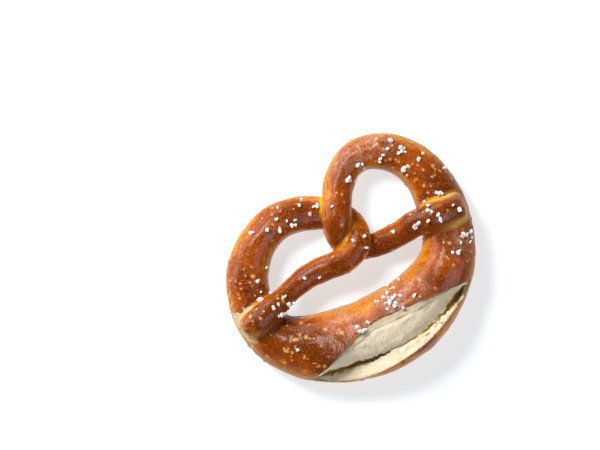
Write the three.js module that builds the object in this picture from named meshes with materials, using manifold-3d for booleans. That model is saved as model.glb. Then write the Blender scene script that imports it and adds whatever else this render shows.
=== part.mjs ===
// A soft lye pretzel, baked as one piece: a rope of dough, fat at the belly and thin at the ends, bent into
// two loops, twisted once in the middle and laid with each end on a shoulder of the belly. The belly has
// split open along its outer side in the oven.
//
// Millimetres, +Z up. X runs across the shoulders and +Y from the belly to the loops. The pretzel rests on
// the flat that it baked against the tray, at z = 0, and the origin is under the middle of its outline.
import * as THREE from "three";
import Module from "manifold-3d";

const wasm = await Module();
wasm.setup();

// ---- Driving dimensions ----

const SECTION_SIDES = 26;
const RING_STEP = 4.6; // along the rope, between two rings of the loft
const END_ROUNDING = 9.2; // length of the rope over which an end closes
const END_BLUNTNESS = 0.4; // size of the last ring, as a share of the full section
const ROOM = 12; // how far the tray's cut reaches past the dough

// The gash runs along the outer side of the belly, between these rows of ROPE.
const GASH_FROM = 19.55;
const GASH_TO = 25.6;
const GASH_RIGHT_TIP = 12; // degrees up from the outward side of the belly's section
const GASH_LEFT_TIP = 24;
// The outline of what the gash takes where it is widest, as degrees up from the outward side of the belly's
// section, and a share of the way from the middle of the section to the crust.
const GASH_OUTLINE = [
  [20, 1.6],
  [85, 1.6],
  [114, 1.6],
  [114, 0.95], // the upper edge, a step down from the crust
  [84, 0.93],
  [57, 0.87],
  [38, 0.64], // the crevice
];

// The rope from its right end to its left end: x and y of its middle, its width, and the height of its
// underside and its top. Where the underside is below 0, the dough lies on the tray and is cut flat there.
const ROPE = [
  // right arm, from its end on the shoulder to the twist
  [68, -5, 13.5, 12.5, 25.5],
  [60, -4, 15, 15, 29.5],
  [51, -2.2, 15.5, 14.5, 30],
  [42.5, -1, 15, 10.5, 26],
  [33, -1.5, 14, 5, 19.5],
  [22.5, -1.5, 14, 0.5, 14.5],
  [13, 0.5, 13.5, -1.5, 12],
  [4.5, 4.5, 13.5, -1.5, 12.5],
  [1, 13, 14.5, 3.5, 19],
  [4, 21.5, 16, 8, 24],
  [9, 30, 16.5, 5.5, 22.5],
  // right loop
  [15, 39, 17.5, 0, 19],
  [24.5, 46.3, 18, -4, 17.5],
  [36, 47.8, 19.5, -4.5, 17.5],
  [47.5, 42.2, 21, -5, 18.5],
  [56.1, 32.3, 22.3, -5.5, 19.5],
  [60.3, 20, 24.6, -6, 21],
  [60.5, 7, 27.1, -6.5, 22.5],
  // belly, from the right shoulder to the left
  [58, -8, 28.6, -6.5, 23.5],
  [51.4, -22.5, 30.5, -7, 25],
  [41.7, -32.5, 34, -7, 27.5],
  [28, -40, 40, -7.5, 30.5],
  [12, -44.5, 44, -8, 32],
  [-4.5, -45.2, 45.2, -8, 32],
  [-20, -42.5, 43.5, -8, 31.5],
  [-36, -36.5, 40.5, -7.5, 29.5],
  [-49.5, -28, 34.5, -7, 26.5],
  [-58.2, -17.5, 29, -6.5, 24],
  [-61.5, -4, 26.3, -6, 22.5],
  // left loop
  [-59.5, 10, 24.5, -6, 21],
  [-53.5, 22, 23.5, -5.5, 20],
  [-43.5, 32, 22, -5, 19],
  [-30, 37.9, 21, -5, 18],
  [-17, 37.4, 20.2, -4, 16.5],
  [-6, 33, 19.5, -3, 14],
  // left arm, from the twist to its end on the shoulder
  [3, 26.3, 17.5, -2, 12.5],
  [9, 19.5, 16, -0.5, 13.5],
  [10.6, 11.5, 15, 4, 18],
  [7, 4.2, 14, 8, 22.5],
  [-2, 0.8, 14, 7, 21.5],
  [-14, 1.9, 15, 4, 19],
  [-26, 2.8, 14.5, 4, 18.5],
  [-37, 1, 12.8, 7, 20.5],
  [-46.5, -1.3, 13, 12, 26],
  [-56, -3.4, 14.5, 16, 31],
  [-64, -5, 14.5, 16, 30.5],
  [-70, -6.3, 13.5, 13, 26],
];
const RIGHT_ARM_ENDS_AT = 13; // rows of ROPE where the rope is divided, so that no length of it meets itself
const LEFT_ARM_STARTS_AT = 32;

// ---- Geometry helpers ----

// A closed geometry through rings of points that all have the same number of points.
function loft(rings) {
  const sides = rings[0].length;
  const points = rings.flat();
  const middles = [rings[0], rings.at(-1)].map((ring) =>
    ring.reduce((sum, p) => sum.add(p), new THREE.Vector3()).divideScalar(sides),
  );
  const first = points.push(...middles) - 2;
  const last = (rings.length - 1) * sides;
  const faces = [];
  for (let j = 0; j < sides; j++) {
    const k = (j + 1) % sides;
    for (let base = 0; base < last; base += sides) {
      faces.push(base + j, base + k, base + sides + k);
      faces.push(base + j, base + sides + k, base + sides + j);
    }
    faces.push(first, k, j);
    faces.push(first + 1, last + j, last + k);
  }
  return new THREE.BufferGeometry().setFromPoints(points).setIndex(faces);
}

// A geometry whose vertices are shared, as a solid that can be joined and cut.
function solidOf(geometry) {
  const vertProperties = new Float32Array(geometry.attributes.position.array);
  const triVerts = new Uint32Array(geometry.index.array);
  return new wasm.Manifold(new wasm.Mesh({ numProp: 3, vertProperties, triVerts }));
}

function geometryOf(solid) {
  const { vertProperties, triVerts, numProp } = solid.getMesh();
  const geometry = new THREE.BufferGeometry();
  const data = new THREE.InterleavedBuffer(vertProperties, numProp);
  geometry.setAttribute("position", new THREE.InterleavedBufferAttribute(data, 3, 0));
  geometry.setIndex(new THREE.BufferAttribute(triVerts, 1));
  return geometry;
}

// ---- Dough ----

// The rope's elliptical sections at even steps along it, as it is before its ends are rounded off.
function ropeSections() {
  const middle = new THREE.CatmullRomCurve3(
    ROPE.map(([x, y, , bottom, top]) => new THREE.Vector3(x, y, (bottom + top) / 2)),
  );
  const size = new THREE.CatmullRomCurve3(
    ROPE.map(([, , width, bottom, top]) => new THREE.Vector3(width / 2, (top - bottom) / 2, 0)),
    false,
    "catmullrom",
  );
  middle.arcLengthDivisions = 2000;
  const count = Math.round(middle.getLength() / RING_STEP);
  return Array.from({ length: count + 1 }, (_, i) => {
    const t = middle.getUtoTmapping(i / count);
    const along = middle.getTangent(t);
    const outward = new THREE.Vector3(0, 0, 1).cross(along).normalize();
    return {
      row: t * (ROPE.length - 1),
      fromEnd: Math.min(i, count - i) * RING_STEP,
      middle: middle.getPoint(t),
      half: size.getPoint(t),
      outward,
      up: along.clone().cross(outward),
    };
  });
}

// A point at an angle up from the outward side of a section, where a share of 1 is on the section's outline.
function onSection({ middle, half, outward, up }, angle, share) {
  return middle
    .clone()
    .addScaledVector(outward, half.x * share * Math.cos(angle))
    .addScaledVector(up, half.y * share * Math.sin(angle));
}

function ropeRing(section) {
  const open = Math.min(1, section.fromEnd / END_ROUNDING);
  const share = END_BLUNTNESS + (1 - END_BLUNTNESS) * Math.sqrt(1 - (1 - open) ** 2);
  return Array.from({ length: SECTION_SIDES }, (_, j) =>
    onSection(section, (2 * Math.PI * j) / SECTION_SIDES, share),
  );
}

// The rope joined to itself where it crosses, and cut flat by the tray.
function rope(sections) {
  const rings = sections.map(ropeRing);
  const cutRight = sections.findIndex(({ row }) => row >= RIGHT_ARM_ENDS_AT);
  const cutLeft = sections.findIndex(({ row }) => row >= LEFT_ARM_STARTS_AT);
  const rightArm = solidOf(loft(rings.slice(0, cutRight + 1)));
  const belly = solidOf(loft(rings.slice(cutRight, cutLeft + 1)));
  const leftArm = solidOf(loft(rings.slice(cutLeft)));
  const whole = belly.add(rightArm).add(leftArm);
  const { min, max } = whole.boundingBox();
  const aboveTray = new THREE.BoxGeometry(max[0] - min[0] + ROOM, max[1] - min[1] + ROOM, max[2] + ROOM);
  aboveTray.translate((min[0] + max[0]) / 2, (min[1] + max[1]) / 2, (max[2] + ROOM) / 2);
  return whole.intersect(solidOf(welded(aboveTray)));
}

// What the oven opened: a long wedge, widest and deepest in the middle, that runs out in a tip at each end.
function gash(sections) {
  const middleRow = (GASH_FROM + GASH_TO) / 2;
  const halfLength = (GASH_TO - GASH_FROM) / 2;
  const cut = sections.filter(({ row }) => Math.abs(row - middleRow) < halfLength);
  const rings = cut.map((section) => {
    const t = (section.row - middleRow) / halfLength;
    const open = (1 - t * t) ** 0.85;
    const tip = THREE.MathUtils.lerp(GASH_RIGHT_TIP, GASH_LEFT_TIP, (1 + t) / 2);
    return GASH_OUTLINE.map(([degrees, share]) => {
      const angle = THREE.MathUtils.degToRad(THREE.MathUtils.lerp(tip, degrees, open));
      return onSection(section, angle, share > 1 ? share : THREE.MathUtils.lerp(1, share, open));
    });
  });
  return solidOf(loft(rings));
}

// A copy whose corners at one place are one vertex.
function welded(geometry) {
  const position = geometry.attributes.position;
  const places = new Map();
  const points = [];
  const faces = Array.from(geometry.index.array, (corner) => {
    const point = new THREE.Vector3().fromBufferAttribute(position, corner);
    const key = point.toArray().join();
    if (!places.has(key)) places.set(key, points.push(point) - 1);
    return places.get(key);
  });
  return new THREE.BufferGeometry().setFromPoints(points).setIndex(faces);
}

const crust = new THREE.MeshStandardMaterial({ color: 0xa8591c, roughness: 0.35, metalness: 0 });

const sections = ropeSections();
const dough = geometryOf(rope(sections).subtract(gash(sections)));
dough.computeBoundingBox();
const outlineMiddle = dough.boundingBox.getCenter(new THREE.Vector3());
dough.translate(-outlineMiddle.x, -outlineMiddle.y, 0);

const pretzel = new THREE.Mesh(dough, crust);
pretzel.name = "pretzel";

const part = new THREE.Group();
part.add(pretzel);

export default part;
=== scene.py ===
"""A soft lye pretzel: one baked rope of dough, split along its belly, with coarse salt on it.

The shapes are worked out in millimetres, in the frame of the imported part, and become metres when a mesh is
made. The stage, the camera and the lights are in metres.
"""

import math

import bmesh
import bpy
import numpy as np
import openvdb
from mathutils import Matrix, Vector
from mathutils.bvhtree import BVHTree


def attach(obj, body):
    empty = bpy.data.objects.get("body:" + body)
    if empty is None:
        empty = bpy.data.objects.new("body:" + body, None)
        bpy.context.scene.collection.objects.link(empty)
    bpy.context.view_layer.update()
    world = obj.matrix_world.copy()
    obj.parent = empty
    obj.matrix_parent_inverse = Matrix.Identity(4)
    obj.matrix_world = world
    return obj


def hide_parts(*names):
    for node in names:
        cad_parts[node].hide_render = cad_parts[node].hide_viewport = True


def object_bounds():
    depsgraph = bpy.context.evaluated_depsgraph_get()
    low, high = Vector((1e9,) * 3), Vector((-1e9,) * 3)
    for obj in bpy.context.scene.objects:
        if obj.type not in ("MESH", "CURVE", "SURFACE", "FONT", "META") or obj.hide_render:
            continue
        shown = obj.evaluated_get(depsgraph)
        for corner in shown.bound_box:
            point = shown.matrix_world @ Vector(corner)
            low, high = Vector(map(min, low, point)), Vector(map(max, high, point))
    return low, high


MM = 0.001
TINY = 1e-6  # a number next to 0, where 0 itself would not do

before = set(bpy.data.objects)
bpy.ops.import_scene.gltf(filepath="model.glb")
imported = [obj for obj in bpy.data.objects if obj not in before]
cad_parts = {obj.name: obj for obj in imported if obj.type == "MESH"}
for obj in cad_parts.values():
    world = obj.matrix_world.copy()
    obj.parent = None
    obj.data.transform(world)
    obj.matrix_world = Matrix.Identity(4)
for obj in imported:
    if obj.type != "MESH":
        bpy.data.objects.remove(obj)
cad_low, cad_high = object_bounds()

# ---- the rope of dough ----

# From the right end to the left end: x and y of its middle, its width, and the height of its underside and
# its top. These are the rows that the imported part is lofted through, but for two at each end, which shape
# the arms' ends more closely.
ROPE = [
    # right arm, from its end on the shoulder to the twist
    [70.5, -5.2, 15, 11.5, 24.5],
    [61, -4, 15.2, 15, 29],
    [51, -2.2, 15.5, 14.5, 30],
    [42.5, -1, 15, 10.5, 26],
    [33, -1.5, 14, 5, 19.5],
    [22.5, -1.5, 14, 0.5, 14.5],
    [13, 0.5, 13.5, -1.5, 12],
    [4.5, 4.5, 13.5, -1.5, 12.5],
    [1, 13, 14.5, 3.5, 19],
    [4, 21.5, 16, 8, 24],
    [9, 30, 16.5, 5.5, 22.5],
    # right loop
    [15, 39, 17.5, 0, 19],
    [24.5, 46.3, 18, -4, 17.5],
    [36, 47.8, 19.5, -4.5, 17.5],
    [47.5, 42.2, 21, -5, 18.5],
    [56.1, 32.3, 22.3, -5.5, 19.5],
    [60.3, 20, 24.6, -6, 21],
    [60.5, 7, 27.1, -6.5, 22.5],
    # belly, from the right shoulder to the left
    [58, -8, 28.6, -6.5, 23.5],
    [51.4, -22.5, 30.5, -7, 25],
    [41.7, -32.5, 34, -7, 27.5],
    [28, -40, 40, -7.5, 30.5],
    [12, -44.5, 44, -8, 32],
    [-4.5, -45.2, 45.2, -8, 32],
    [-20, -42.5, 43.5, -8, 31.5],
    [-36, -36.5, 40.5, -7.5, 29.5],
    [-49.5, -28, 34.5, -7, 26.5],
    [-58.2, -17.5, 29, -6.5, 24],
    [-61.5, -4, 26.3, -6, 22.5],
    # left loop
    [-59.5, 10, 24.5, -6, 21],
    [-53.5, 22, 23.5, -5.5, 20],
    [-43.5, 32, 22, -5, 19],
    [-30, 37.9, 21, -5, 18],
    [-17, 37.4, 20.2, -4, 16.5],
    [-6, 33, 19.5, -3, 14],
    # left arm, from the twist to its end on the shoulder
    [3, 26.3, 17.5, -2, 12.5],
    [9, 19.5, 16, -0.5, 13.5],
    [10.6, 11.5, 15, 4, 18],
    [7, 4.2, 14, 8, 22.5],
    [-2, 0.8, 14, 7, 21.5],
    [-14, 1.9, 15, 4, 19],
    [-26, 2.8, 14.5, 4, 18.5],
    [-37, 1, 12.8, 7, 20.5],
    [-46.5, -1.3, 13, 12, 26],
    [-56, -3.4, 14.5, 16, 31],
    [-64, -4.8, 14, 16, 30.5],
    [-71, -5.6, 11, 13.5, 25],
]
LAST_ROW = len(ROPE) - 1
PER_ROW = 24  # samples of the rope between two rows
OVERLAP = 6  # samples that a stretch of the rope reaches past its two rows
END_ROWS = 3  # rows at each end that the outline's middle is worked out without

# Rows that each pass of the rope runs between. A pass never crosses itself, and neighbours share the
# stretch between two rows.
PASSES = {"right_arm": (0, 13), "belly": (12, 33), "left_arm": (32, LAST_ROW)}
JOINTS = (12.5, 32.5)  # the middle of each stretch that two passes share
# Round a joint both passes are the same dough, so the fillet of their seam is left out there. It grows back
# between these distances from the joint.
JOINT_CLEARANCE = (18, 28)
END_ROUNDING = 6.5  # length of the rope over which an end closes
END_BLUNTNESS = 3.2  # 2 rounds an end off like an ellipse, and more is blunter

VOXEL = 0.72
BAND = 4.0  # how far outside the dough its distance is worked out
SEAM_FILLET = 3.0  # where one pass of the rope has baked onto another
TRAY_ROUNDING = 5.0  # between the sides and the flat underside


def catmull_rom(rows, t):
    """Values between rows, at fractional row numbers."""
    i = np.clip(np.floor(t).astype(int), 0, len(rows) - 2)
    f = (t - i)[..., None]
    a, b, c, d = (rows[np.clip(i + k, 0, len(rows) - 1)] for k in (-1, 0, 1, 2))
    square = 2 * a - 5 * b + 4 * c - d
    cube = 3 * b - a - 3 * c + d
    return 0.5 * (2 * b + (c - a) * f + square * f**2 + cube * f**3)


def smoothstep(low, high, x):
    """From 0 at low to 1 at high, smoothly, and no further."""
    f = np.clip((x - low) / (high - low), 0, 1)
    return f * f * (3 - 2 * f)


class Rope:
    """The rope's middle line and elliptical section, sampled along its length. Outward is towards the
    outside of the belly and the loops."""

    def __init__(self, rows):
        x, y, width, bottom, top = np.array(rows, float).T
        spine = np.stack([x, y, width / 2, (top + bottom) / 2, (top - bottom) / 2], axis=1)
        self.row = np.linspace(0, LAST_ROW, LAST_ROW * PER_ROW + 1)
        samples = catmull_rom(spine, self.row)
        self.xy = samples[:, :2]
        self.half_width, self.middle_z, self.half_height = samples[:, 2:].T
        step = np.gradient(self.xy, axis=0)
        self.along = step / np.linalg.norm(step, axis=1, keepdims=True)
        self.outward = np.stack([-self.along[:, 1], self.along[:, 0]], axis=1)
        self.length = np.r_[0, np.cumsum(np.linalg.norm(np.diff(self.xy, axis=0), axis=1))]
        # The origin is under the outline's middle. The ends are rounded off, so they are left out of that.
        body = slice(END_ROWS * PER_ROW, -END_ROWS * PER_ROW)
        low = (self.xy - self.half_width[:, None])[body].min(axis=0)
        high = (self.xy + self.half_width[:, None])[body].max(axis=0)
        self.xy -= (low + high) / 2

    def stretch(self, row):
        """The samples from row to row + 1, and a few of the neighbours'."""
        first = max(row * PER_ROW - OVERLAP, 0)
        last = min((row + 1) * PER_ROW + OVERLAP, len(self.row) - 1)
        return slice(first, last + 1)

    def section(self, row, x, y):
        """What of the stretch from row to row + 1 is nearest in plan to x, y: the length along the rope
        there, the offset outward, and how far x, y is beyond the stretch's ends."""
        near = self.stretch(row)
        dx = x[..., None] - self.xy[near, 0]
        dy = y[..., None] - self.xy[near, 1]
        k = np.argmin(dx * dx + dy * dy, axis=-1)
        dx = np.take_along_axis(dx, k[..., None], axis=-1)[..., 0]
        dy = np.take_along_axis(dy, k[..., None], axis=-1)[..., 0]
        k = k + near.start
        along = dx * self.along[k, 0] + dy * self.along[k, 1]
        offset = dx * self.outward[k, 0] + dy * self.outward[k, 1]
        to_start = self.length[near.start] - self.length[k]
        to_end = self.length[near.stop - 1] - self.length[k]
        inside = np.clip(along, to_start, to_end)
        return self.length[k] + inside, offset, along - inside

    def sizes(self, length):
        """Half width, height of the middle and half height at lengths along the rope."""
        return (
            np.interp(length, self.length, self.half_width),
            np.interp(length, self.length, self.middle_z),
            np.interp(length, self.length, self.half_height),
        )

    def distance(self, row, x, y, z):
        """About how far each point is outside the stretch from row to row + 1, negative inside, and the
        length and the offset of the section that is nearest."""
        length, offset, beyond = self.section(row, x, y)
        half_width, middle_z, half_height = self.sizes(length)
        share = np.hypot(offset / half_width, (z - middle_z) / half_height)
        to_end = length if row < LAST_ROW / 2 else self.length[-1] - length
        closing = np.clip(1 - (to_end - np.abs(beyond)) / END_ROUNDING, 0, None)
        share = (share**END_BLUNTNESS + closing**END_BLUNTNESS) ** (1 / END_BLUNTNESS)
        distance = (share - 1) * np.sqrt(half_width * half_height)
        past_stretch = (np.abs(beyond) > TINY) & (to_end > END_ROUNDING)
        return np.where(past_stretch, BAND, distance), length, offset

    def reach(self, row):
        """Low and high corners, in plan, of what the stretch from row to row + 1 may touch."""
        near = self.stretch(row)
        pad = self.half_width[near].max() + BAND
        return self.xy[near].min(axis=0) - pad, self.xy[near].max(axis=0) + pad


rope = Rope(ROPE)


def smooth_min(a, b, width):
    """The lesser of two distances, with a fillet of about this width where they meet."""
    h = np.maximum(width - np.abs(a - b), 0) / np.maximum(width, TINY)
    return np.minimum(a, b) - h * h * width / 4


def pass_grid(rows, axes):
    """Distance from one pass of the rope on a grid."""
    x, y, z = axes
    field = np.full((len(x), len(y), len(z)), BAND, np.float32)
    for row in range(*rows):
        low, high = rope.reach(row)
        i = slice(*np.searchsorted(x, (low[0], high[0])))
        j = slice(*np.searchsorted(y, (low[1], high[1])))
        distance, _, _ = rope.distance(row, x[i, None, None], y[None, j, None], z[None, None, :])
        field[i, j] = np.minimum(field[i, j], distance)
    return field


def dough_surface():
    """Points and quads of the rope's surface, joined to itself and flat on the tray."""
    low, high = np.array(cad_low) / MM, np.array(cad_high) / MM
    axes = [np.arange(low[k] - BAND, high[k] + BAND, VOXEL) for k in range(3)]
    x, y = axes[0][:, None, None], axes[1][None, :, None]
    fillet = SEAM_FILLET
    for row in JOINTS:
        joint = rope.xy[int(row * PER_ROW)]
        fillet = fillet * smoothstep(*JOINT_CLEARANCE, np.hypot(x - joint[0], y - joint[1]))
    right_arm, belly, left_arm = (pass_grid(rows, axes) for rows in PASSES.values())
    field = smooth_min(smooth_min(right_arm, belly, fillet), left_arm, fillet)
    above_tray = axes[2][None, None, :] + np.zeros_like(field)
    field = -smooth_min(-field, above_tray, TRAY_ROUNDING)
    grid = openvdb.FloatGrid(background=BAND)
    grid.copyFromArray(np.clip(field, -BAND, BAND).astype(np.float32))
    points, quads = grid.convertToQuads(isovalue=0.0)
    return points * VOXEL + np.array([axis[0] for axis in axes]), quads


# ---- noise and mesh helpers ----


class Noise:
    """Smooth noise from -1 to 1, at points in space or along a line, the same on every run."""

    CELLS = 32  # after these it repeats
    LINE = (7.7, 3.3)  # where in y and z a line runs

    def __init__(self, seed):
        self.table = np.random.default_rng(seed).uniform(-1, 1, (self.CELLS, self.CELLS, self.CELLS))

    def __call__(self, points, size):
        if points.ndim == 1:
            points = np.stack([points, *(np.full_like(points, value) for value in self.LINE)], axis=1)
        points = points / size
        cell = np.floor(points).astype(int)
        f = points - cell
        f = f * f * f * (f * (f * 6 - 15) + 10)
        total = np.zeros(len(points))
        for corner in np.ndindex(2, 2, 2):
            i, j, k = ((cell + corner) % self.CELLS).T
            total += np.prod(np.where(corner, f, 1 - f), axis=1) * self.table[i, j, k]
        return total


def layered_noise(points, layers):
    """The sum of noises, each given by its seed, its strength and its size."""
    return sum(strength * Noise(seed)(points, size) for seed, strength, size in layers)


def read_points(mesh):
    """The vertices' places, in millimetres."""
    values = np.empty(len(mesh.vertices) * 3)
    mesh.vertices.foreach_get("co", values)
    return values.reshape(-1, 3) / MM


def write_points(mesh, points):
    """Moves the vertices to places in millimetres."""
    mesh.vertices.foreach_set("co", (points * MM).ravel())
    mesh.update()


def read_normals(mesh):
    """The vertices' directions, of length 1."""
    values = np.empty(len(mesh.vertices) * 3)
    mesh.vertex_normals.foreach_get("vector", values)
    return values.reshape(-1, 3)


def write_attribute(mesh, name, values):
    """Gives each vertex a number that a material can read."""
    mesh.attributes.new(name, "FLOAT", "POINT").data.foreach_set("value", values.astype(np.float32))


def link(name, mesh):
    """Puts a mesh in the scene as an object of that name."""
    piece = bpy.data.objects.new(name, mesh)
    bpy.context.scene.collection.objects.link(piece)
    return piece


# ---- places on the dough ----

SAME_DOUGH = 60.0  # nearer than this along the rope, two passes are one stretch of it


class Places:
    """Where points near the dough are on the rope: how far along it, and where on its section, with across
    as a share of the section's half width."""

    def __init__(self, points):
        x, y, z = points.T
        distances = np.full((len(PASSES), len(points)), BAND)
        lengths = np.zeros_like(distances)
        offsets = np.zeros_like(distances)
        for number, rows in enumerate(PASSES.values()):
            for row in range(*rows):
                low, high = rope.reach(row)
                near = np.nonzero((x > low[0]) & (x < high[0]) & (y > low[1]) & (y < high[1]))[0]
                distance, length, offset = rope.distance(row, x[near], y[near], z[near])
                closer = distance < distances[number, near]
                near = near[closer]
                distances[number, near] = distance[closer]
                lengths[number, near] = length[closer]
                offsets[number, near] = offset[closer]
        nearest = np.argmin(distances, axis=0)
        everyone = np.arange(len(points))
        # The belly's pass takes in both loops, and the arms lie on it.
        self.on_belly = nearest == list(PASSES).index("belly")
        self.length = lengths[nearest, everyone]
        self.row = np.interp(self.length, rope.length, rope.row)
        half_width, middle_z, half_height = rope.sizes(self.length)
        self.across = offsets[nearest, everyone] / half_width
        above = (z - middle_z) / half_height
        # Degrees up from the outward side of the section, and millimetres round it from there.
        self.degrees = np.degrees(np.arctan2(above, self.across))
        self.girth = np.radians(self.degrees) * (half_width + half_height) / 2
        # How far another pass of the rope is: 0 in the crease between the two.
        same_dough = np.abs(lengths - self.length) < SAME_DOUGH
        self.seam = np.where(same_dough, BAND, distances).min(axis=0)


# ---- the split along the belly ----

# The split's edges and crevice from its right tip to its left one: row of ROPE, and how far out on the
# section, as a share of its half width, are the upper edge, the crevice and the lower edge.
SPLIT = [
    [19.92, 0.905, 0.91, 0.915],
    [20.15, 0.6, 0.79, 0.9],
    [20.4, 0.36, 0.735, 0.87],
    [20.85, 0.06, 0.64, 0.8],
    [21.4, -0.18, 0.595, 0.76],
    [22.05, -0.35, 0.505, 0.77],
    [22.75, -0.405, 0.465, 0.795],
    [23.4, -0.375, 0.48, 0.855],
    [24.05, -0.14, 0.52, 0.92],
    [24.55, 0.15, 0.61, 0.955],
    [25.0, 0.52, 0.715, 0.95],
    [25.45, 0.905, 0.915, 0.925],
]
# Along the same split: row, and the width and depth of the crevice in millimetres.
CREVICE = [
    [19.95, 0.5, 0.5],
    [20.3, 3.6, 3.2],
    [20.8, 3.4, 3.2],
    [21.4, 1.4, 2.6],
    [22.0, 0.6, 1.4],
    [22.9, 0.6, 1.0],
    [23.4, 1.6, 2.4],
    [24.3, 3.2, 2.3],
    [25.0, 2.8, 1.8],
    [25.4, 0.4, 0.5],
]
TIP_LENGTH = 13  # what a row past a tip of the split counts for, in millimetres
OPEN_WIDTH = 0.5  # how far apart the edges are where the split is fully open, as a share of the half width

# The lower lip and the crevice. Where nothing else is said, lengths across are shares of the section's half
# width, and heights are shares of its half height.
LIP_EDGE = (0.02, 0.028)  # how far in and down the lip steps from the crust
LIP_DROP = 0.03  # how far the lip's face is below the crust
LIP_UNEVENNESS = 0.006
TOOTH = (0.045, 0.055)  # how far across and up the teeth of its torn edge reach
TOOTH_SHADE = 0.15
CREVICE_STRAY = 0.03  # how far the crevice wanders
SHALLOWEST = 0.01
CREVICE_FLOOR = (0.15, -0.3)  # where it lies, as shares of the crevice's width out from its middle

# The upper face. Shares of the way are from the upper edge to the crevice.
EDGE_DROP = 0.04  # how far the face steps down from the crust at its upper edge
FACE_DROP = 0.26  # how much further it has sunk at the crevice
FACE_CURVE = 2.8  # how late it sinks
FACE_FLATNESS = 0.3  # 0 is as round as the crust was, 1 is flat
BELOW_FOLD = (0.985, 0.93, 0.86, 0.76, 0.64, 0.5, 0.38)  # shares of the way where its shape is worked out
BESIDE_FOLD = 0.03  # another such share is this much past the fold
ABOVE_FOLD = 0.45  # and another at this part of the way to the fold
BY_UPPER_EDGE = 0.015
FOLD_SHARE = 0.24  # where the fold in the face runs
FOLD_WIDTH = 0.035
FOLD_DEPTH = 0.05
FOLD_USUAL, FOLD_LEAST, FOLD_MOST = 0.7, 0.2, 1.2  # shares of that depth
SHADE_FROM, SHADE_WIDTH = 0.93, 0.07  # where painted shade on the face deepens into the crevice
SHADE = 0.6  # how much it does

# Noises along the split: where each starts, so that no two are alike, its size, both in millimetres, and
# its strength.
FINE_TEETH = (2000, 0.9, 1)
COARSE_TEETH = (2500, 2.2, 0.6)
FINE_FRAY = (0, 1.1, 0.7)
COARSE_FRAY = (900, 3.6, 0.7)
CREVICE_WIDENS = (400, 2.3, 0.5)
CREVICE_DEEPENS = (700, 3.1, 0.5)
FOLD_BENDS = (1500, 9, 0.06)
FOLD_FRAYS = (1700, 2.4, 0.025)
FOLD_DEEPENS = (1900, 7, 0.9)
SPLIT_SEED = 3


def crust_height(out):
    """How high the crust was, this far out on the section."""
    return np.sqrt(np.clip(1 - out * out, 0, 1))


def face_height(out, share, upper, crevice):
    """Height of the split's upper face before its fold, between round and flat."""
    sunk_round = crust_height(out) - (EDGE_DROP + FACE_DROP * share**FACE_CURVE)
    chord = crust_height(upper) * (1 - share) + crust_height(crevice) * share
    sunk_flat = chord - EDGE_DROP - FACE_DROP * share
    return sunk_round - FACE_FLATNESS * (sunk_round - sunk_flat)


def split_profile(row, length):
    """The section of the split at each row, from its lower edge to its upper one: how far out and up, how
    much painted shade it has, from 0 to 1 deep in the crevice, and the share of the way from the upper edge
    to the crevice, or -1 on the lower lip."""
    rows = np.array(SPLIT).T
    upper, crevice, lower = (np.interp(row, rows[0], values) for values in rows[1:])
    rows = np.array(CREVICE).T
    width, depth = (np.interp(row, rows[0], values) for values in rows[1:])
    half_width, _, half_height = rope.sizes(length)
    split_noise = Noise(SPLIT_SEED)

    def rough(start, size, strength):
        return strength * split_noise(length + start, size)

    teeth = rough(*FINE_TEETH) + rough(*COARSE_TEETH)
    fray = rough(*FINE_FRAY) + rough(*COARSE_FRAY)
    open_share = np.clip((lower - upper) / OPEN_WIDTH, 0, 1)
    crevice = crevice + CREVICE_STRAY * fray * open_share
    width = width / half_width * open_share * (1 + rough(*CREVICE_WIDENS))
    depth = depth / half_height * open_share * (1 + rough(*CREVICE_DEEPENS))

    lip = crust_height(lower)
    shelf = lip - LIP_DROP * open_share
    floor_height = shelf - np.maximum(depth, SHALLOWEST)
    tooth_out, tooth_up = (reach * teeth * open_share for reach in TOOTH)
    # Each step: how far out, how high, how much painted shade, and the share of the way.
    steps = [
        (lower, lip, 0, -1),
        (lower - LIP_EDGE[0] * open_share, lip - LIP_EDGE[1] * open_share, 0, -1),
        (lower + (crevice - lower) * 0.5, shelf + LIP_UNEVENNESS * fray * open_share, 0, -1),
        (crevice + width * 0.5 + tooth_out, shelf + tooth_up, TOOTH_SHADE, -1),
        (crevice + width * CREVICE_FLOOR[0], floor_height, 1, -1),
        (crevice + width * CREVICE_FLOOR[1], floor_height, 1, 1),
    ]

    fold = FOLD_SHARE + rough(*FOLD_BENDS) + rough(*FOLD_FRAYS)
    fold_depth = FOLD_DEPTH * np.clip(FOLD_USUAL + rough(*FOLD_DEEPENS), FOLD_LEAST, FOLD_MOST)
    round_fold = (fold + BESIDE_FOLD, fold, fold - FOLD_WIDTH, fold * ABOVE_FOLD)
    for share in (*BELOW_FOLD, *round_fold, BY_UPPER_EDGE):
        out = upper + (crevice - width * 0.5 - upper) * share
        sunk = face_height(out, share, upper, crevice)
        sunk = sunk - fold_depth * smoothstep(fold - FOLD_WIDTH, fold, share)
        height = crust_height(out) + (sunk - crust_height(out)) * open_share
        # painted shade, deepening into the crevice
        dark = np.clip((share - SHADE_FROM) / SHADE_WIDTH, 0, 1) * SHADE
        steps.append((out, np.maximum(height, floor_height), dark, share))
    steps.append((upper, crust_height(upper), 0, 0))
    return np.array([[value + 0 * row for value in step] for step in steps])


def split_span(row):
    """Degrees round the section of the split's lower and upper edges."""
    rows = np.array(SPLIT).T
    return (np.degrees(np.arccos(np.interp(row, rows[0], edge))) for edge in (rows[3], rows[1]))


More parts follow.
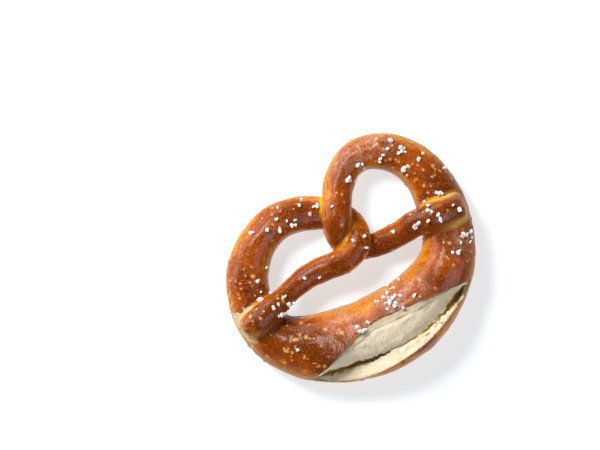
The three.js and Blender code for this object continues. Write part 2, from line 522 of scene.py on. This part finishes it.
def inside_split(places):
    """How far each place is inside the split's edges, in millimetres round the section and negative outside
    them, and the share of the way from the lower edge to the upper one."""
    low_degrees, high_degrees = split_span(places.row)
    half_width, _, half_height = rope.sizes(places.length)
    middle = (low_degrees + high_degrees) / 2
    half = (high_degrees - low_degrees) / 2
    inside = np.radians(half - np.abs(places.degrees - middle)) * (half_width + half_height) / 2
    past_tip = np.maximum(SPLIT[0][0] - places.row, places.row - SPLIT[-1][0])
    inside = np.where(past_tip > 0, -np.abs(inside) - past_tip * TIP_LENGTH, inside)
    inside = np.where(places.on_belly, np.clip(inside, -BAND, None), -BAND)
    return inside, (places.degrees - low_degrees) / (2 * half)


def cut_split(points, places):
    """Moves the points between the split's edges onto its torn surface. Returns the points, how far each is
    inside the edges, and the last two columns of split_profile."""
    inside, share = inside_split(places)
    torn = np.nonzero(inside > 0)[0]
    length = places.length[torn]
    half_width, middle_z, half_height = rope.sizes(length)
    profile = split_profile(places.row[torn], length)
    run = np.linalg.norm(np.diff(profile[:, :2], axis=0) * np.stack([half_width, half_height]), axis=1)
    run = np.concatenate([np.zeros((1, len(torn))), np.cumsum(run, axis=0)])
    reach = share[torn] * run[-1]
    values = np.zeros((4, len(torn)))
    for k in range(len(run) - 1):
        here = (reach >= run[k]) & (reach <= run[k + 1])
        f = (reach[here] - run[k, here]) / np.maximum(run[k + 1, here] - run[k, here], TINY)
        values[:, here] = profile[k][:, here] * (1 - f) + profile[k + 1][:, here] * f
    out, up = values[:2]
    shift = (out - places.across[torn]) * half_width
    outward = np.stack([np.interp(length, rope.length, rope.outward[:, k]) for k in range(2)], axis=1)
    points = points.copy()
    points[torn, :2] += outward / np.linalg.norm(outward, axis=1, keepdims=True) * shift[:, None]
    points[torn, 2] = middle_z + up * half_height
    crevice, upper_face = np.zeros((2, len(points)))
    crevice[torn], upper_face[torn] = values[2:]
    return points, inside, crevice, upper_face


# ---- the baked dough ----

SMOOTH_ROUNDS = 4
SMOOTH_FACTOR = 0.5
CUTS = 2  # new vertices on each edge in the split and just outside it
FINE_ROWS = 0.1  # how far past the split's tips the mesh is that fine
FINE_DEGREES = 5  # and how far past its edges


def refine(mesh, wanted):
    """Cuts the edges between wanted vertices, and fills the faces between them with a grid."""
    work = bmesh.new()
    work.from_mesh(mesh)
    work.verts.ensure_lookup_table()
    edges = [e for e in work.edges if wanted[e.verts[0].index] and wanted[e.verts[1].index]]
    bmesh.ops.subdivide_edges(work, edges=edges, cuts=CUTS, use_grid_fill=True)
    bmesh.ops.recalc_face_normals(work, faces=work.faces)
    work.to_mesh(mesh)
    work.free()


def plain_dough():
    """The rope's surface, with the steps between its voxels smoothed away, and finer where it has split."""
    points, quads = dough_surface()
    mesh = bpy.data.meshes.new("baked_dough")
    mesh.from_pydata(points * MM, [], quads)
    piece = link("baked_dough", mesh)
    smooth = piece.modifiers.new("smooth", "SMOOTH")
    smooth.factor = SMOOTH_FACTOR
    smooth.iterations = SMOOTH_ROUNDS
    shape = piece.evaluated_get(bpy.context.evaluated_depsgraph_get())
    piece.data = bpy.data.meshes.new_from_object(shape)
    piece.modifiers.clear()

    places = Places(read_points(piece.data))
    low_degrees, high_degrees = split_span(places.row)
    past_tip = np.maximum(SPLIT[0][0] - places.row, places.row - SPLIT[-1][0])
    past_edge = np.maximum(low_degrees - places.degrees, places.degrees - high_degrees)
    refine(piece.data, places.on_belly & (past_tip < FINE_ROWS) & (past_edge < FINE_DEGREES))
    return piece


def baked_dough():
    """The whole pretzel but its salt, with what its material needs to know about each vertex."""
    piece = plain_dough()
    mesh = piece.data
    points = read_points(mesh)
    places = Places(points)
    points, inside, crevice, upper_face = cut_split(points, places)
    write_points(mesh, points)
    pale = pale_seams(points, places)
    rise, blister = crust_relief(points, places, inside, pale)
    write_points(mesh, points + read_normals(mesh) * rise[:, None])
    attributes = {
        "crumb": inside,
        # painted shade in the crevice, from 0 to 1
        "crevice": crevice,
        "upper_face": upper_face,
        "along": places.length,
        "around": places.girth,
        "seam": places.seam,
        "pale": pale,
        "blister": blister,
        # listed browning, with painted shadow beside the arms
        "browning_and_shadow": at_spots(points, BROWNING_AND_SHADOW) + on_arms(places),
        # painted sheen on the crust
        "painted_sheen": at_spots(points, SHEEN_SPOTS),
        "golden_seam": at_spots(points, GOLDEN_SEAMS),
        # painted shade in the dents
        "dent_shade": at_spots(points, DENTS),
    }
    for name, values in attributes.items():
        write_attribute(mesh, name, values)
    mesh.shade_smooth()
    return piece


# Where a seam between two passes stayed pale or tore open: x, y, how far that reaches along the seam, and
# how wide the pale dough is on the pass below and on the arm above.
PALE_SEAMS = [
    [68, 5, 9, 1.5, 0.9],  # round the right arm's end
    [71, -3, 7, 1.6, 0.9],
    [62, -9, 7, 1.4, 0.7],
    [58, 7, 5, 1.1, 0.8],
    [-73.5, 4, 8, 7.0, 0.4],  # round the left arm's end
    [-72, -9, 5, 4.0, 0.5],
    [-66, 8, 6, 3.0, 0.5],
    [8, 20, 5, 1.2, 0.6],  # in the twist
    [4, 14, 5, 1.5, 0.8],
]
# Where the crust in a crease between two passes is golden instead of darkened by painted shade: x, y,
# how far that reaches, and how golden.
GOLDEN_SEAMS = [
    [56, 9, 14, 1],
    [66, -8, 9, 1],
    [-62, 8, 10, 0.8],
    [-76, -4, 9, 0.8],
    [6, 17, 9, 0.9],
    [2, 42, 9, 1],
    [24, -2, 7, 0.7],
]
PALE_FADE = (0.6, 1.4)  # where pale dough fades out along its seam, as shares of its reach
PALE_EDGE = (0.75, 0.05)  # where it fades out across: from this share of its width to this much past it
PALE_HEIGHTS = (10, 16)  # it shows from this height up, and fully from this one
PALE_NARROWEST = 0.1
PALE_FRAY = [(11, 0.35, 2.5)]
PALE_UNEVENNESS = [(12, 2, 4)]


def pale_seams(points, places):
    """How much of the pale dough in the seams shows at each point, from 0 to 1."""
    width = np.zeros(len(points))
    for x, y, reach, below, above in PALE_SEAMS:
        away = np.hypot(points[:, 0] - x, points[:, 1] - y)
        fade = 1 - smoothstep(reach * PALE_FADE[0], reach * PALE_FADE[1], away)
        width = np.maximum(width, np.where(places.on_belly, below, above) * fade)
    ragged = width * (1 + layered_noise(points, PALE_FRAY))
    high_enough = smoothstep(*PALE_HEIGHTS, points[:, 2] + layered_noise(points, PALE_UNEVENNESS))
    pale = 1 - smoothstep(ragged * PALE_EDGE[0], ragged + PALE_EDGE[1], places.seam)
    return high_enough * pale * (width > PALE_NARROWEST)


# Where the crust is browner than elsewhere, or less brown, and where painted shadow darkens it beside
# the arms: x, y, how far that reaches, and by how much.
BROWNING_AND_SHADOW = [
    [4, 43, 8, -0.25],  # golden where the loops touch
    [40, -18, 9, -0.35],  # inside of the right shoulder
    [-8, -24, 12, -0.2],  # inner side of the belly
    [-38, -27, 13, 0.2],  # left of the belly
    [66, -14, 9, 0.15],
    [14, 6, 8, 0.2],  # the twist
    [-73, -3, 6, -1.6],  # the left arm's end
    [-60, 14, 10, 0.15],
    [66, 14, 14, 0.12],
    [16, 36, 12, -0.15],
    [-44, -9, 7, 0.5],  # painted shadow of the left arm, on the belly
    [50, -10, 5, 0.4],  # painted shadow beside the right arm
]
# Where a pinkish painted sheen lies over the crazed skin: x, y, how far that reaches, and how much.
SHEEN_SPOTS = [
    [-22, -25, 8, 0.9],
    [-30, -33, 6, 0.5],
    [-6, -24, 5, 0.6],
    [8, -24, 7, 0.9],
    [23, -25, 7, 0.8],
    [61, -18, 7, 0.5],
    [47, 54, 7, 0.7],
    [34, 57, 7, 0.6],
    [21, 56, 6, 0.5],
]
ARM_BROWNING = 0.28
RIGHT_ARM_FADES = (5, 8)  # rows of ROPE between which an arm's browning fades out
LEFT_ARM_FADES = (38, 41)


def at_spots(points, spots):
    """The sum at each point of soft round spots, each given by its x and y, its reach and its strength."""
    total = np.zeros(len(points))
    for x, y, reach, amount in spots:
        away = np.hypot(points[:, 0] - x, points[:, 1] - y)
        total += amount * np.exp(-((away / reach) ** 2))
    return total


def on_arms(places):
    """The two arms lie highest and have browned most."""
    right = 1 - smoothstep(*RIGHT_ARM_FADES, places.row)
    left = smoothstep(*LEFT_ARM_FADES, places.row)
    return ARM_BROWNING * (right + left)


BLISTERS = 290
BLISTER_SEED = 21
BLISTER_RADIUS = (0.5, 1.0)
BLISTER_HEIGHT = (0.3, 0.6)
BIG_BLISTERS = 0.25  # the share of them that are bigger
BIG_BLISTER = 1.4  # and how many times bigger
BLISTER_MARGIN = 2  # how far blisters stay off the split and the creases
BLISTER_LOWEST = 7
BLISTERS_ANYWHERE = 0.12  # how much it has blistered outside the places below
# Where the crust has blistered most: x, y, how far that reaches, and how much.
BLISTERED = [
    [-64, 22, 14, 1.0],
    [-66, 4, 10, 0.8],
    [-52, -26, 15, 1.1],
    [-38, -40, 9, 1.0],
    [44, 50, 15, 0.9],
    [62, 20, 14, 0.7],
    [58, -14, 10, 0.7],
    [8, 6, 9, 0.6],
    [-20, 44, 12, 0.5],
]
# Small dents: x, y, how wide, and how deep, and how dark with painted shade.
DENTS = [
    [-68.8, -2, 1.9, 1.7],
    [-66, -7, 1.2, 0.4],
    [-3, -58.7, 1.6, 0.6],
    [69, 1, 1.5, 0.4],
]
DENT_DEPTH = 0.9
DENTS_ABOVE = 15  # they are on the upper side only
PALE_DEPTH = 0.35  # how far the pale dough lies below the crust

# The baked surface's unevenness, in layers of noise.
CRUST_LUMPS = [(5, 0.42, 17), (6, 0.24, 8), (7, 0.12, 2.8)]
CRUMB_LUMPS = [(8, 0.2, 3.2), (9, 0.1, 1.3)]
CRUMB_FIBRES = [(10, 0.22, 2.4)]
FIBRE_STRETCH = 4  # the crumb's fibres are this much longer along the rope
CRUMB_CALM = 0.35  # how much of the crust's lumps the crumb has
CRUST_EDGE = (-0.8, 0.2)  # the crust ends between these distances inside the split
TRAY_EDGE = (0.5, 5)  # the underside has no relief: it starts and is whole at these heights


def add_blisters(rise, points, places, inside):
    """Returns the rise with blisters on it, and where they are, from 0 to 1."""
    rng = np.random.default_rng(BLISTER_SEED)
    clear = (inside < -BLISTER_MARGIN) & (places.seam > BLISTER_MARGIN) & (points[:, 2] > BLISTER_LOWEST)
    odds = np.where(clear, BLISTERS_ANYWHERE + at_spots(points, BLISTERED), 0)
    blister = np.zeros(len(points))
    for centre in rng.choice(len(points), BLISTERS, replace=False, p=odds / odds.sum()):
        radius = rng.uniform(*BLISTER_RADIUS)
        if rng.random() < BIG_BLISTERS:
            radius *= BIG_BLISTER
        away = np.linalg.norm(points - points[centre], axis=1)
        bump = np.exp(-((away / radius) ** 2))
        blister = np.maximum(blister, bump)
        rise = rise + rng.uniform(*BLISTER_HEIGHT) * bump
    return rise, blister


def crust_relief(points, places, inside, pale):
    """How far the baked surface stands proud of the rope's plain shape, and where it has blistered."""
    crust = 1 - smoothstep(*CRUST_EDGE, inside)
    rise = layered_noise(points, CRUST_LUMPS) * (CRUMB_CALM + (1 - CRUMB_CALM) * crust)
    fibres = np.stack([places.length / FIBRE_STRETCH, places.girth, np.zeros(len(points))], axis=1)
    rise += (1 - crust) * (layered_noise(points, CRUMB_LUMPS) + layered_noise(fibres, CRUMB_FIBRES))
    rise -= PALE_DEPTH * pale + DENT_DEPTH * at_spots(points, DENTS) * (points[:, 2] > DENTS_ABOVE)
    rise, blister = add_blisters(rise, points, places, inside)
    return rise * smoothstep(*TRAY_EDGE, points[:, 2]), blister


pretzel = baked_dough()

# ---- coarse salt ----

# Where the salt lies: x and y of the middle of a sprinkle, how far it spreads, and how many grains it has.
SALT = [
    # right loop
    [52, 52, 1.5, 2], [49, 48, 1, 1], [56, 43, 3, 5], [45, 46, 3, 4], [33, 48, 4, 4], [22, 44.5, 3, 6],
    [65, 36, 1, 1], [62, 34, 2, 2], [71, 23, 1, 1], [51, 33, 4, 4], [61, 12, 3, 5], [6, 35, 1, 1],
    # twist and right arm
    [13, 12, 1, 1], [11, 7, 1, 1], [7, 13, 1, 1], [29, 6, 1, 1], [40, 3, 2.5, 5], [51, 8, 3, 5],
    [52, 2, 4, 6], [64, 3, 1, 1], [66, -1, 1, 1], [66, -15, 1, 1], [61, -17, 5, 9], [54, -22, 3, 4],
    # left loop
    [-7, 47, 1, 1], [-10, 45, 1, 1], [-1, 40, 3, 3], [-7, 38, 1, 1], [-25, 45, 2, 2], [-18, 39, 4, 4],
    [-27, 39, 3, 3], [-32, 42, 1, 1], [-41, 46, 2, 2], [-20, 50, 1, 1], [-43, 24, 1, 1], [-51, 20, 1, 1],
    [-55, 10, 2, 2], [-52, 14, 1, 1], [-48.5, 11, 1, 1],
    # left arm
    [-27, 8, 1, 1], [-20, 5, 1, 1], [-40, 0, 1, 1], [-47, 0.5, 6, 9], [-51, 2, 3, 2], [-44, -2, 2, 3],
    # belly
    [18, -19, 1, 1], [12, -21, 3, 3], [8, -26, 4, 18], [21, -30, 1, 1], [12, -32, 1, 1], [1, -22, 2, 2],
    [-9, -30, 1, 1], [-14, -31, 3.5, 6], [-50, -24, 1, 1], [26, -52, 1, 1],
]
SALT_SEED = 42
SPREAD = 0.5  # how far a grain strays, as a share of its sprinkle's spread
SINGLE_SPREAD = 0.2  # the same for a grain that lies alone
STEEPEST = 0.25  # grains roll off where the surface's normal points up less than this
DROP_HEIGHT = 0.1  # metres above the tray
GRAIN_SIZE = (1.7, 2.9)
GRAIN_SIDES = (0.7, 1.15)  # a grain's three sides, as shares of its size
GRAIN_CORNERS = 13
GRAIN_CUBE = 0.75  # 0 is as round as a ball, 1 is as square as a cube
GRAIN_OUT = 0.28  # how far its middle is above the crust, as a share of its size


def salt_grain(work, rng, place, normal):
    """Adds one broken crystal, sunk by about a fifth where it was baked on."""
    size = rng.uniform(*GRAIN_SIZE)
    sides = size / 2 * rng.uniform(*GRAIN_SIDES, 3)
    corners = rng.normal(size=(GRAIN_CORNERS, 3))
    to_cube = np.abs(corners).max(axis=1, keepdims=True)
    to_ball = np.linalg.norm(corners, axis=1, keepdims=True)
    corners /= to_cube**GRAIN_CUBE * to_ball ** (1 - GRAIN_CUBE)
    one_way, other_way = (Vector(rng.normal(size=3)).normalized() for _ in range(2))
    turn = one_way.rotation_difference(other_way)
    centre = place + normal * (size * MM * GRAIN_OUT)
    verts = [work.verts.new(centre + turn @ Vector(corner * sides * MM)) for corner in corners]
    hull = bmesh.ops.convex_hull(work, input=verts, use_existing_faces=False)
    spare = [v for v in hull["geom_interior"] + hull["geom_unused"] if isinstance(v, bmesh.types.BMVert)]
    bmesh.ops.delete(work, geom=list(set(spare)), context="VERTS")


def coarse_salt():
    """Coarse white salt, dropped from above onto the crust."""
    dough = pretzel.data
    tree = BVHTree.FromPolygons([v.co[:] for v in dough.vertices], [p.vertices[:] for p in dough.polygons])
    work = bmesh.new()
    rng = np.random.default_rng(SALT_SEED)
    down = Vector((0, 0, -1))
    for x, y, spread, count in SALT:
        for _ in range(count):
            dx, dy = rng.normal(size=2) * spread * (SPREAD if count > 1 else SINGLE_SPREAD)
            above = Vector(((x + dx) * MM, (y + dy) * MM, DROP_HEIGHT))
            place, normal, _, _ = tree.ray_cast(above, down)
            if place is not None and normal.z > STEEPEST:
                salt_grain(work, rng, place, normal)
    mesh = bpy.data.meshes.new("coarse_salt")
    work.to_mesh(mesh)
    work.free()
    return link("coarse_salt", mesh)


grains = coarse_salt()

# ---- materials ----


class Graph:
    """Short ways to write a material's nodes."""

    def __init__(self, name):
        self.material = bpy.data.materials.new(name)
        self.material.use_nodes = True
        self.nodes = self.material.node_tree.nodes
        self.shader = self.nodes["Principled BSDF"]

    def put(self, value, socket):
        """Links a socket to a socket, or sets it to a number or a colour."""
        if isinstance(value, bpy.types.NodeSocket):
            self.material.node_tree.links.new(value, socket)
        elif isinstance(value, tuple) and socket.type == "RGBA":
            socket.default_value = (*value, 1)
        else:
            socket.default_value = value

    def set_input(self, name, value):
        """Sets or links one of the shader's inputs."""
        self.put(value, self.shader.inputs[name])

    def attribute(self, name):
        """A number that each vertex of the dough has."""
        node = self.nodes.new("ShaderNodeAttribute")
        node.attribute_name = name
        return node.outputs["Fac"]

    def position(self):
        """Millimetres in the object's own frame."""
        node = self.nodes.new("ShaderNodeVectorMath")
        node.operation = "MULTIPLY"
        self.put(self.nodes.new("ShaderNodeTexCoord").outputs["Object"], node.inputs[0])
        node.inputs[1].default_value = (1 / MM, 1 / MM, 1 / MM)
        return node.outputs[0]

    def strand(self, along, around):
        """Millimetres along the rope and round it, scaled."""
        node = self.nodes.new("ShaderNodeCombineXYZ")
        self.put(self.math("MULTIPLY", self.attribute("along"), along), node.inputs[0])
        self.put(self.math("MULTIPLY", self.attribute("around"), around), node.inputs[1])
        return node.outputs[0]

    def noise(self, vector, size, detail=2.0, roughness=0.5, distortion=0.0):
        """Noise from 0 to 1 whose largest patches are about this many millimetres across."""
        node = self.nodes.new("ShaderNodeTexNoise")
        self.put(vector, node.inputs["Vector"])
        node.inputs["Scale"].default_value = 1 / size
        node.inputs["Detail"].default_value = detail
        node.inputs["Roughness"].default_value = roughness
        node.inputs["Distortion"].default_value = distortion
        return node.outputs["Fac"]

    def math(self, operation, a, b):
        node = self.nodes.new("ShaderNodeMath")
        node.operation = operation
        self.put(a, node.inputs[0])
        self.put(b, node.inputs[1])
        return node.outputs[0]

    def span(self, value, low, high, to_low=0.0, to_high=1.0):
        """Maps low to high onto another range, smoothly, and no further."""
        node = self.nodes.new("ShaderNodeMapRange")
        node.interpolation_type = "SMOOTHSTEP"
        self.put(low, node.inputs["From Min"])
        self.put(high, node.inputs["From Max"])
        self.put(to_low, node.inputs["To Min"])
        self.put(to_high, node.inputs["To Max"])
        self.put(value, node.inputs["Value"])
        return node.outputs["Result"]

    def mix(self, share, a, b):
        """Colour a where the share is 0, and b where it is 1."""
        node = self.nodes.new("ShaderNodeMix")
        node.data_type = "RGBA"
        colours = [socket for socket in node.inputs if socket.type == "RGBA"]
        self.put(share, node.inputs["Factor"])
        self.put(a, colours[0])
        self.put(b, colours[1])
        return next(socket for socket in node.outputs if socket.type == "RGBA")

    def z_of(self, vector):
        node = self.nodes.new("ShaderNodeSeparateXYZ")
        self.put(vector, node.inputs[0])
        return node.outputs["Z"]

    def facing_up(self):
        """1 where the surface faces straight up, 0 where it is upright."""
        return self.z_of(self.nodes.new("ShaderNodeTexCoord").outputs["Normal"])

    def bump(self, height, distance):
        node = self.nodes.new("ShaderNodeBump")
        node.inputs["Distance"].default_value = distance
        self.put(height, node.inputs["Height"])
        return node.outputs["Normal"]


# Colours, as linear red, green and blue.
MAHOGANY = (0.11, 0.014, 0.001)
CHESTNUT = (0.34, 0.058, 0.002)
AMBER = (0.64, 0.22, 0.006)
GOLD = (0.78, 0.4, 0.03)
CREAM = (0.57, 0.48, 0.3)
TRAY_TAN = (0.5, 0.2, 0.045)
BLISTER_TAN = (0.68, 0.36, 0.11)
# Pinkish painted sheen, laid over the crazed crust.
SHEEN_PINK = (0.66, 0.38, 0.28)
SALT_GREY = (0.72, 0.7, 0.66)
SALT_WHITE = (0.93, 0.92, 0.9)
CRUMB = (0.8, 0.7, 0.52)
CRUMB_PALE = (0.83, 0.73, 0.55)
CRUMB_BRIGHT = (0.86, 0.76, 0.56)
# Tan at the crumb's edges, and painted shade above the fold.
CRUMB_TAN_AND_SHADE = (0.42, 0.29, 0.15)
# Painted shade deep in the crevice.
CREVICE_SHADE = (0.46, 0.3, 0.07)
MATTE = (0.85, 0.85, 0.85)  # the roughness of crumb and creases, as a colour for a mix

# Sizes of the patches in the materials' noises, in millimetres.
BROWN_PATCHES = 22
SHEEN_PATCHES = 12
MOTTLE = 4.5
SPECKS = 1.3
FIBRES = 1.1
CRAZING = 0.8
GRIT = 0.7
PORES = 0.55
SALT_SPECKS = 0.5

DOUGH_BUMP = 0.00026  # in metres
SALT_BUMP = 0.0001


def crust_colour(g, position, mottle, specks, crazing, crease):
    """From amber on the sides to mahogany on top, speckled, with pinkish painted sheen where it is crazed,
    painted shade in creases, golden in some, painted shade in dents, tan by the tray and on blisters,
    and cream where pale dough shows."""
    patches = g.noise(position, BROWN_PATCHES, detail=3)
    browning_and_shadow = g.math("MULTIPLY", g.span(g.facing_up(), 0.3, 1.0), 0.7)
    browning_and_shadow = g.math("ADD", browning_and_shadow, g.span(patches, 0.3, 0.7, -0.2, 0.25))
    browning_and_shadow = g.math("ADD", browning_and_shadow, g.span(mottle, 0.3, 0.7, -0.12, 0.12))
    # the listed browning, and painted shadow beside the arms
    browning_and_shadow = g.math("ADD", browning_and_shadow, g.attribute("browning_and_shadow"))
    crust = g.mix(g.span(browning_and_shadow, 0.0, 0.5), AMBER, CHESTNUT)
    crust = g.mix(g.span(browning_and_shadow, 0.35, 1.0), crust, MAHOGANY)

    grit = g.noise(position, GRIT, detail=2, roughness=0.6)
    crust = g.mix(g.span(specks, 0.5, 0.7, 0, 0.5), crust, MAHOGANY)
    crust = g.mix(g.span(specks, 0.46, 0.25, 0, 0.35), crust, AMBER)
    crust = g.mix(g.span(grit, 0.5, 0.7, 0, 0.7), crust, MAHOGANY)
    crust = g.mix(g.span(grit, 0.5, 0.3, 0, 0.42), crust, AMBER)

    # Painted sheen: a pale pink over the crazing, in the listed spots.
    painted_sheen = g.math("MULTIPLY", g.attribute("painted_sheen"), g.span(crazing, 0.4, 0.6, 0.1, 1.0))
    painted_sheen = g.math("MULTIPLY", painted_sheen, g.span(mottle, 0.35, 0.6))
    crust = g.mix(painted_sheen, crust, SHEEN_PINK)

    # Painted shade darkens the creases between passes.
    crust = g.mix(g.span(g.attribute("seam"), 1.8, 0.2, 0, 0.6), crust, MAHOGANY)
    crust = g.mix(g.math("MULTIPLY", crease, g.attribute("golden_seam")), crust, GOLD)
    height = g.math("ADD", g.z_of(position), g.span(mottle, 0.3, 0.7, -1.5, 1.5))
    crust = g.mix(g.span(height, 7, 0.5, 0, 0.8), crust, TRAY_TAN)
    crust = g.mix(g.span(g.attribute("blister"), 0.2, 0.85, 0, 0.75), crust, BLISTER_TAN)
    # Painted shade darkens the dents.
    crust = g.mix(g.span(g.attribute("dent_shade"), 0.25, 0.8, 0, 0.85), crust, MAHOGANY)
    pale_dough = g.mix(g.span(mottle, 0.3, 0.5), GOLD, CREAM)
    return g.mix(g.span(g.attribute("pale"), 0.1, 0.7), crust, pale_dough)


def crumb_colour(g, mottle, specks, edge):
    """Cream, with painted shade as tan above the fold, tan along the edges, fibres on the lower lip, and
    painted shade in the crevice.
    """
    face = g.attribute("upper_face")
    fibres = g.noise(g.strand(1.0, 0.5), FIBRES, detail=3, roughness=0.6)
    lower_lip = g.mix(g.span(fibres, 0.3, 0.55), CRUMB_PALE, CRUMB_BRIGHT)
    crumb = g.mix(g.span(mottle, 0.35, 0.65), CRUMB, CRUMB_PALE)
    # Painted shade as tan between the upper edge and the fold.
    crumb = g.mix(g.span(face, 0.3, 0.12, 0, 0.6), crumb, CRUMB_TAN_AND_SHADE)
    crumb = g.mix(g.span(face, -0.3, -0.7), crumb, lower_lip)
    # Painted shade, deepest in the crevice.
    shade = g.math("ADD", g.attribute("crevice"), g.span(specks, 0.35, 0.65, -0.35, 0.25))
    crumb = g.mix(g.span(shade, 0.25, 0.9), crumb, CREVICE_SHADE)
    return g.mix(g.span(edge, 1.3, 0.2, 0, 0.8), crumb, CRUMB_TAN_AND_SHADE)


def dough_material():
    """Lye-baked crust, unevenly glossy, and matte crumb inside the split's edges."""
    g = Graph("crust")
    position = g.position()
    mottle = g.noise(position, MOTTLE, detail=4, roughness=0.6)
    specks = g.noise(position, SPECKS, detail=3, roughness=0.65)
    crazing = g.noise(g.strand(1.0, 0.35), CRAZING, detail=3, roughness=0.65, distortion=0.8)
    crease = g.span(g.attribute("seam"), 3.5, 0.2)
    edge = g.math("ADD", g.attribute("crumb"), g.span(specks, 0.3, 0.7, -0.35, 0.35))
    in_crumb = g.span(edge, 0.0, 0.25)
    crust = crust_colour(g, position, mottle, specks, crazing, crease)
    g.set_input("Base Color", g.mix(in_crumb, crust, crumb_colour(g, mottle, specks, edge)))

    bare = g.math("MAXIMUM", in_crumb, g.span(g.attribute("pale"), 0.2, 0.8))
    matte = g.math("MAXIMUM", bare, crease)
    g.set_input("Roughness", g.mix(matte, g.span(mottle, 0.3, 0.7, 0.2, 0.33), MATTE))
    coat = g.span(g.noise(position, SHEEN_PATCHES, detail=2), 0.36, 0.62, 0.2, 0.55)
    g.set_input("Coat Weight", g.span(matte, 0, 1, coat, 0))
    g.set_input("Coat Roughness", 0.15)
    g.set_input("Specular IOR Level", 0.1)

    pores = g.noise(position, PORES, detail=3, roughness=0.6)
    on_crust = g.math("ADD", g.math("MULTIPLY", crazing, 0.9), g.math("MULTIPLY", specks, 0.5))
    on_crumb = g.math("ADD", g.math("MULTIPLY", pores, 1.4), g.math("MULTIPLY", specks, 1.2))
    g.set_input("Normal", g.bump(g.mix(bare, on_crust, on_crumb), DOUGH_BUMP))
    return g.material


def salt_material():
    """Cloudy white crystal, with light scattered inside it."""
    g = Graph("salt")
    cloud = g.noise(g.position(), SALT_SPECKS, detail=3)
    g.set_input("Base Color", g.mix(g.span(cloud, 0.35, 0.65), SALT_GREY, SALT_WHITE))
    g.set_input("Roughness", g.span(cloud, 0.3, 0.7, 0.3, 0.55))
    g.set_input("Subsurface Weight", 0.35)
    g.set_input("Subsurface Scale", 0.0008)
    g.set_input("Subsurface Radius", (1, 0.95, 0.9))
    g.set_input("Normal", g.bump(cloud, SALT_BUMP))
    return g.material


pretzel.data.materials.append(dough_material())
grains.data.materials.append(salt_material())
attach(pretzel, "root")
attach(grains, "root")
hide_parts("pretzel")

# ---- stage, camera and light ----

FLOOR_SIZE = 4
FLOOR_GAP = 0.0002  # between the floor and the pretzel's underside
FLOOR_COLOUR = (0.42, 0.5, 0.56)
FLOOR_GLOW = 0.62  # a light table, so that the floor is white inside the loops too

ROLL = math.radians(29.8)  # how far the pretzel lies turned in the picture
CENTRE = (-0.0146, 0.0355)  # what the middle of the picture looks at
CAMERA_HEIGHT = 1.1
SENSOR_WIDTH = 36  # in millimetres, as the lens is
PICTURE_WIDTH = 0.3372  # what the picture's width takes in, at MIDDLE_HEIGHT above the tray
MIDDLE_HEIGHT = 0.012

WHITE = (1.0, 1.0, 1.0)
HORIZON_GLOW = 0.72
SKY_GLOW = 0.05
HORIZON_ENDS = 0.07  # where the horizon's glow starts to fade into the sky's, as the sine of the angle up
SKY_STARTS = 0.22

LIGHT_DISTANCE = 1.0
# The soft boxes: name, the way to each in the picture (right, up and towards the camera), width and
# height, power, colour, and whether it lights the surface or shows in its gloss.
LIGHTS = [
    ("key", (-0.75, 0.75, 1.0), (0.35, 0.35), 15.9, (1.0, 0.98, 0.95), "surface"),
    ("fill", (0.8, -0.8, 1.0), (0.8, 0.8), 3.5, WHITE, "surface"),
    ("reflected", (0.75, -0.5, 1.0), (1.3, 0.9), 9.0, (0.8, 0.8, 1.0), "gloss"),
    ("glint", (-0.55, 0.7, 1.3), (0.35, 0.35), 4.0, (1.0, 0.96, 0.9), "gloss"),
    ("rim", (-1.0, 0.9, 0.4), (2.0, 0.6), 15.0, (1.0, 0.97, 0.94), "gloss"),
]


def pale_floor():
    """A glowing floor that doesn't show in the crust's gloss."""
    paper = Graph("floor")
    paper.set_input("Base Color", FLOOR_COLOUR)
    paper.set_input("Roughness", 0.9)
    paper.set_input("Emission Color", WHITE)
    paper.set_input("Emission Strength", FLOOR_GLOW)
    bpy.ops.mesh.primitive_plane_add(size=FLOOR_SIZE)
    plane = bpy.context.object
    plane.name = "floor"
    plane.location.z = -FLOOR_GAP
    plane.data.materials.append(paper.material)
    plane.visible_glossy = False
    return plane


def camera_above():
    """A camera that looks straight down."""
    above = bpy.data.objects.new("camera", bpy.data.cameras.new("camera"))
    bpy.context.scene.collection.objects.link(above)
    above.location = (*CENTRE, CAMERA_HEIGHT)
    above.rotation_euler = (0, 0, -ROLL)
    above.data.sensor_width = SENSOR_WIDTH
    above.data.lens = SENSOR_WIDTH * (CAMERA_HEIGHT - MIDDLE_HEIGHT) / PICTURE_WIDTH
    return above


def softbox(name, way, size, power, colour, role):
    """An area light that faces the pretzel."""
    lamp = bpy.data.lights.new(name, "AREA")
    lamp.shape = "RECTANGLE"
    lamp.size, lamp.size_y = size
    lamp.energy = power
    lamp.color = colour
    direction = Vector(way).normalized()
    direction.rotate(camera.rotation_euler)
    box = bpy.data.objects.new(name, lamp)
    bpy.context.scene.collection.objects.link(box)
    box.location = direction * LIGHT_DISTANCE
    box.rotation_euler = direction.to_track_quat("Z", "Y").to_euler()
    box.visible_diffuse = role == "surface"
    box.visible_glossy = role == "gloss"


def studio_sky():
    """A world that is bright by the horizon, for the gloss on the sides, and dim above."""
    world = bpy.data.worlds.new("studio")
    world.use_nodes = True
    nodes, links = world.node_tree.nodes, world.node_tree.links
    direction = nodes.new("ShaderNodeSeparateXYZ")
    links.new(nodes.new("ShaderNodeTexCoord").outputs["Generated"], direction.inputs[0])
    fade = nodes.new("ShaderNodeMapRange")
    links.new(direction.outputs["Z"], fade.inputs["Value"])
    fade.inputs["From Min"].default_value = HORIZON_ENDS
    fade.inputs["From Max"].default_value = SKY_STARTS
    fade.inputs["To Min"].default_value = HORIZON_GLOW
    fade.inputs["To Max"].default_value = SKY_GLOW
    links.new(fade.outputs["Result"], nodes["Background"].inputs["Strength"])
    nodes["Background"].inputs["Color"].default_value = (*WHITE, 1)
    return world


floor = pale_floor()
camera = camera_above()
bpy.context.scene.camera = camera
for light in LIGHTS:
    softbox(*light)
bpy.context.scene.world = studio_sky()
bpy.context.scene.view_settings.view_transform = "Standard"
